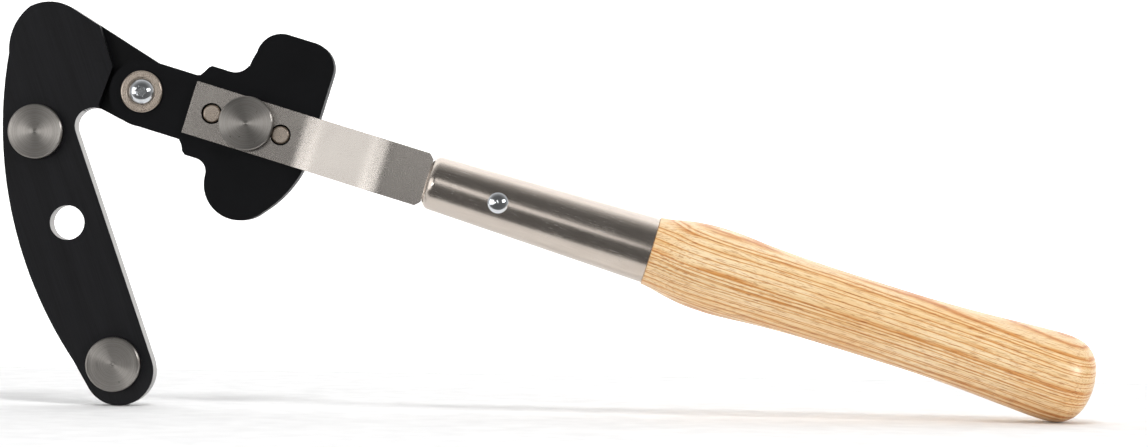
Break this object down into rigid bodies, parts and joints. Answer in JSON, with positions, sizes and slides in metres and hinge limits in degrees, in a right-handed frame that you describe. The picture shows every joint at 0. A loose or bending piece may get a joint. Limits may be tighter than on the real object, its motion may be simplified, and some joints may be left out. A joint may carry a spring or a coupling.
{
  "type": "floor board wrench",
  "caption": "Hand lever tool for drawing strip flooring tight: anchored head plate, pivoting cam plate, cranked steel strap, ferrule and ash handle.",
  "frame": {"origin": "the pivot axis, level with the underside of both plates (the closed face of the pivot nut)", "axes": "+X from the pivot along the handle to its butt, +Y towards the cam plate's upper lobe, +Z out of the side with the thumb screws"},
  "size_m": [0.599, 0.2153, 0.0671],
  "materials": {
    "black_anodised_plate": "black brushed anodised faces with bright machined edges",
    "black_cam": "black anodised all over, satin",
    "nickel": "nickel plate",
    "bright_steel": "polished",
    "turned_steel": "turned stainless with a straight knurl",
    "strap_steel": "satin stainless strip",
    "bronze": "plain bearing bronze",
    "tool_steel": "oiled hardened steel",
    "ash": "satin lacquered ash"
  },
  "bodies": {
    "head": {"head_plate": "black_anodised_plate", "pivot_screw": "bright_steel", "pivot_collar": "nickel", "pivot_thrust_washer": "bronze", "pivot_nut": "nickel", "upper_anchor_pin": "tool_steel", "lower_anchor_pin": "tool_steel", "upper_lock_washer": "tool_steel", "lower_lock_washer": "tool_steel"},
    "lever": {"cam_plate": "black_cam", "pivot_liner": "bronze", "strap_thread_insert": "nickel", "strap_dowels": "nickel", "handle_strap": "strap_steel", "ferrule": "nickel", "ferrule_rivet": "bright_steel", "handle_grip": "ash"},
    "upper_thumb_screw": {"upper_thumb_screw": "turned_steel"},
    "lower_thumb_screw": {"lower_thumb_screw": "turned_steel"},
    "strap_thumb_screw": {"strap_thumb_screw": "turned_steel"}
  },
  "joints": [
    {"name": "lever_swing", "type": "hinge", "parent": "head", "child": "lever", "pos_m": [0, 0, 0.00965], "axis": [0, 0, 1], "range_deg": [-43, 94]},
    {"name": "upper_thumb_turn", "type": "hinge", "parent": "head", "child": "upper_thumb_screw", "pos_m": [-0.04683, -0.03679, 0.0157], "axis": [0, 0, 1], "continuous": true},
    {"name": "lower_thumb_turn", "type": "hinge", "parent": "head", "child": "lower_thumb_screw", "pos_m": [0.02901, -0.14213, 0.0157], "axis": [0, 0, 1], "continuous": true},
    {"name": "strap_thumb_turn", "type": "hinge", "parent": "lever", "child": "strap_thumb_screw", "pos_m": [0.0585, 0.0004, 0.0189], "axis": [0, 0, 1], "continuous": true}
  ]
}
